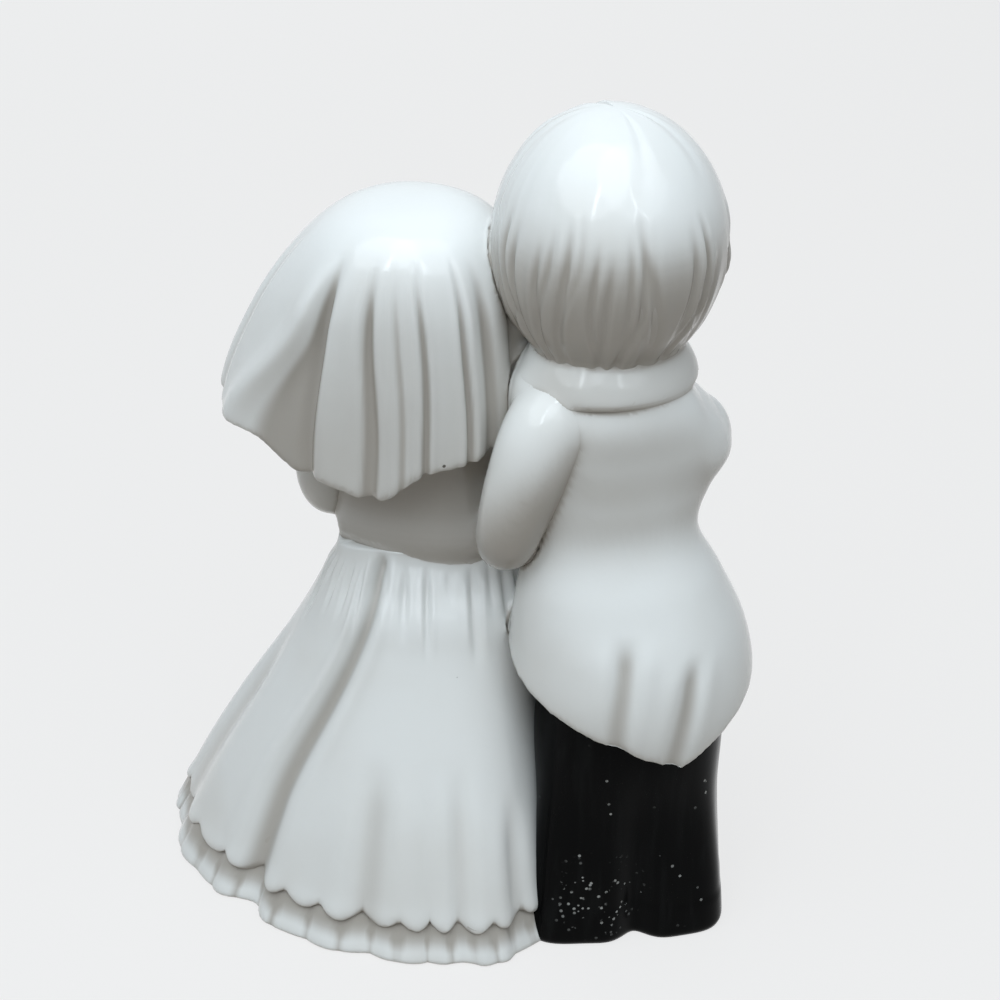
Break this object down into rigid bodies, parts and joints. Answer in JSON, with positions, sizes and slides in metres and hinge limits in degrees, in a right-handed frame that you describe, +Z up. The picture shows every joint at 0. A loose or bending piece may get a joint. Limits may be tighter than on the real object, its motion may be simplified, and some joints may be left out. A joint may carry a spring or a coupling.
{
  "type": "wedding cake topper",
  "caption": "Glazed porcelain wedding cake topper: a bride in a veil and flounced gown with a posy, arm in arm with a groom in a tailcoat and black trousers, flat underneath to stand on a cake.",
  "frame": {"origin": "middle of the object's bounding box at the height of the foot that it stands on", "axes": "+Z up, the couple face -Y, +X towards the bride's side"},
  "size_m": [0.0748, 0.0512, 0.1045],
  "materials": {
    "white_glaze": "gloss",
    "black_enamel": "gloss",
    "rose_enamel": "gloss"
  },
  "bodies": {
    "root": {"bride_bodice": "white_glaze", "bride_hair": "white_glaze", "bride_head": "white_glaze", "bride_left_arm": "white_glaze", "bride_left_hand": "white_glaze", "bride_petticoat": "white_glaze", "bride_right_arm": "white_glaze", "bride_right_hand": "white_glaze", "bride_skirt": "white_glaze", "bride_veil": "white_glaze", "groom_bow_tie": "black_enamel", "groom_collar": "white_glaze", "groom_hair": "white_glaze", "groom_head": "white_glaze", "groom_left_arm": "white_glaze", "groom_left_hand": "white_glaze", "groom_left_lapel": "white_glaze", "groom_left_shoe": "black_enamel", "groom_lower_button": "white_glaze", "groom_right_arm": "white_glaze", "groom_right_hand": "white_glaze", "groom_right_lapel": "white_glaze", "groom_right_shoe": "black_enamel", "groom_shirt_front": "white_glaze", "groom_tailcoat": "white_glaze", "groom_trousers": "black_enamel", "groom_upper_button": "white_glaze", "posy_leaves": "white_glaze", "posy_rose_1": "rose_enamel", "posy_rose_2": "rose_enamel", "posy_rose_3": "rose_enamel", "posy_rose_4": "rose_enamel", "posy_rose_5": "rose_enamel", "posy_rose_6": "rose_enamel", "posy_rose_7": "rose_enamel"}
  },
  "joints": []
}
